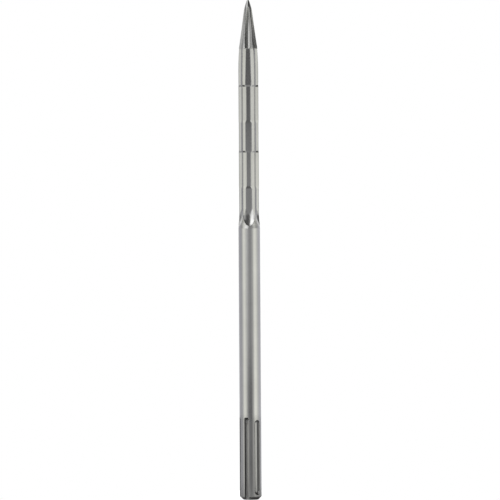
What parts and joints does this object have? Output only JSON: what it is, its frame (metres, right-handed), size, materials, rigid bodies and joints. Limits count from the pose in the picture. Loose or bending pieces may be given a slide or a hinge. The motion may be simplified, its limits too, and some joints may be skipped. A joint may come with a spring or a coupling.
{
  "type": "bull point chisel",
  "caption": "Long steel bull point chisel for a demolition hammer: fluted self-sharpening point, round bar and a grooved 18 mm shank.",
  "frame": {"origin": "centre of the flat struck end, on the tool's axis", "axes": "+Z along the tool, from the struck end to the tip; -Y faces the front flute, as pictured"},
  "size_m": [0.018, 0.018, 0.415],
  "materials": {
    "forged_steel": "satin bright, drawn along the bar, with fine turning marks"
  },
  "bodies": {
    "root": {"bull_point_chisel": "forged_steel"}
  },
  "joints": []
}
